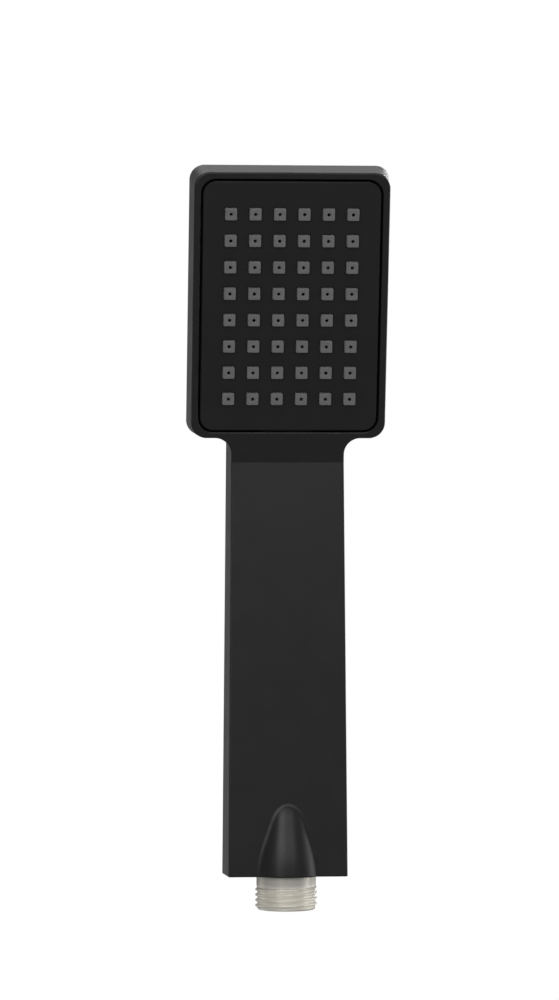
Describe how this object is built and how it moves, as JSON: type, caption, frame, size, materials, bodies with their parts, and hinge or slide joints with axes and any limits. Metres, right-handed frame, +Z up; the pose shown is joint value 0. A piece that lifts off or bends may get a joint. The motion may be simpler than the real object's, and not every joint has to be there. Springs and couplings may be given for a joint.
{
  "type": "handheld shower head",
  "caption": "Flat rectangular hand shower with a forward-leaning spray face, tapered handle and threaded hose inlet.",
  "frame": {"origin": "on the hose thread's axis, in the end face of the thread where the hose washer seats", "axes": "+Z up the handle along the thread's axis, -Y the side that sprays, +X to the right seen from the spray side"},
  "size_m": [0.0676, 0.0379, 0.2508],
  "materials": {
    "black_abs": "fine spark-eroded texture, matt",
    "black_plate": "matt, slightly smoother than the shell",
    "grey_silicone": "matt silicone",
    "nickel": "nickel plated, satin",
    "white_pom": "natural acetal",
    "grey_abs": "natural moulded finish",
    "epdm": "black rubber",
    "red_silicone": "soft rubber",
    "stainless": "bright drawn"
  },
  "bodies": {
    "handset": {"body_shell": "black_abs", "rear_cover": "black_abs", "face_plate": "black_plate", "nozzle_mat": "grey_silicone", "distributor_plate": "grey_abs", "chamber_seal": "epdm", "chamber_pan": "black_abs", "chamber_screws": "stainless", "supply_duct": "grey_abs", "duct_upper_seal": "epdm", "duct_lower_seal": "epdm", "inlet_adapter": "grey_abs", "adapter_seal": "epdm", "inlet_connector": "nickel", "connector_seal": "epdm", "filter_frame": "white_pom", "filter_mesh": "stainless", "regulator_body": "white_pom", "regulator_ring": "red_silicone", "check_valve_body": "white_pom", "cartridge_seal": "epdm", "check_valve_spring": "stainless", "check_valve_guide": "white_pom"},
    "poppet": {"check_valve_poppet": "white_pom", "poppet_seal": "red_silicone"}
  },
  "joints": [
    {"name": "check_valve_lift", "type": "slide", "parent": "handset", "child": "poppet", "axis": [0, 0, 1], "range_m": [0, 0.0022], "stiffness_N_per_m": 60, "springref_m": -0.001, "deforming": ["check_valve_spring"]}
  ]
}
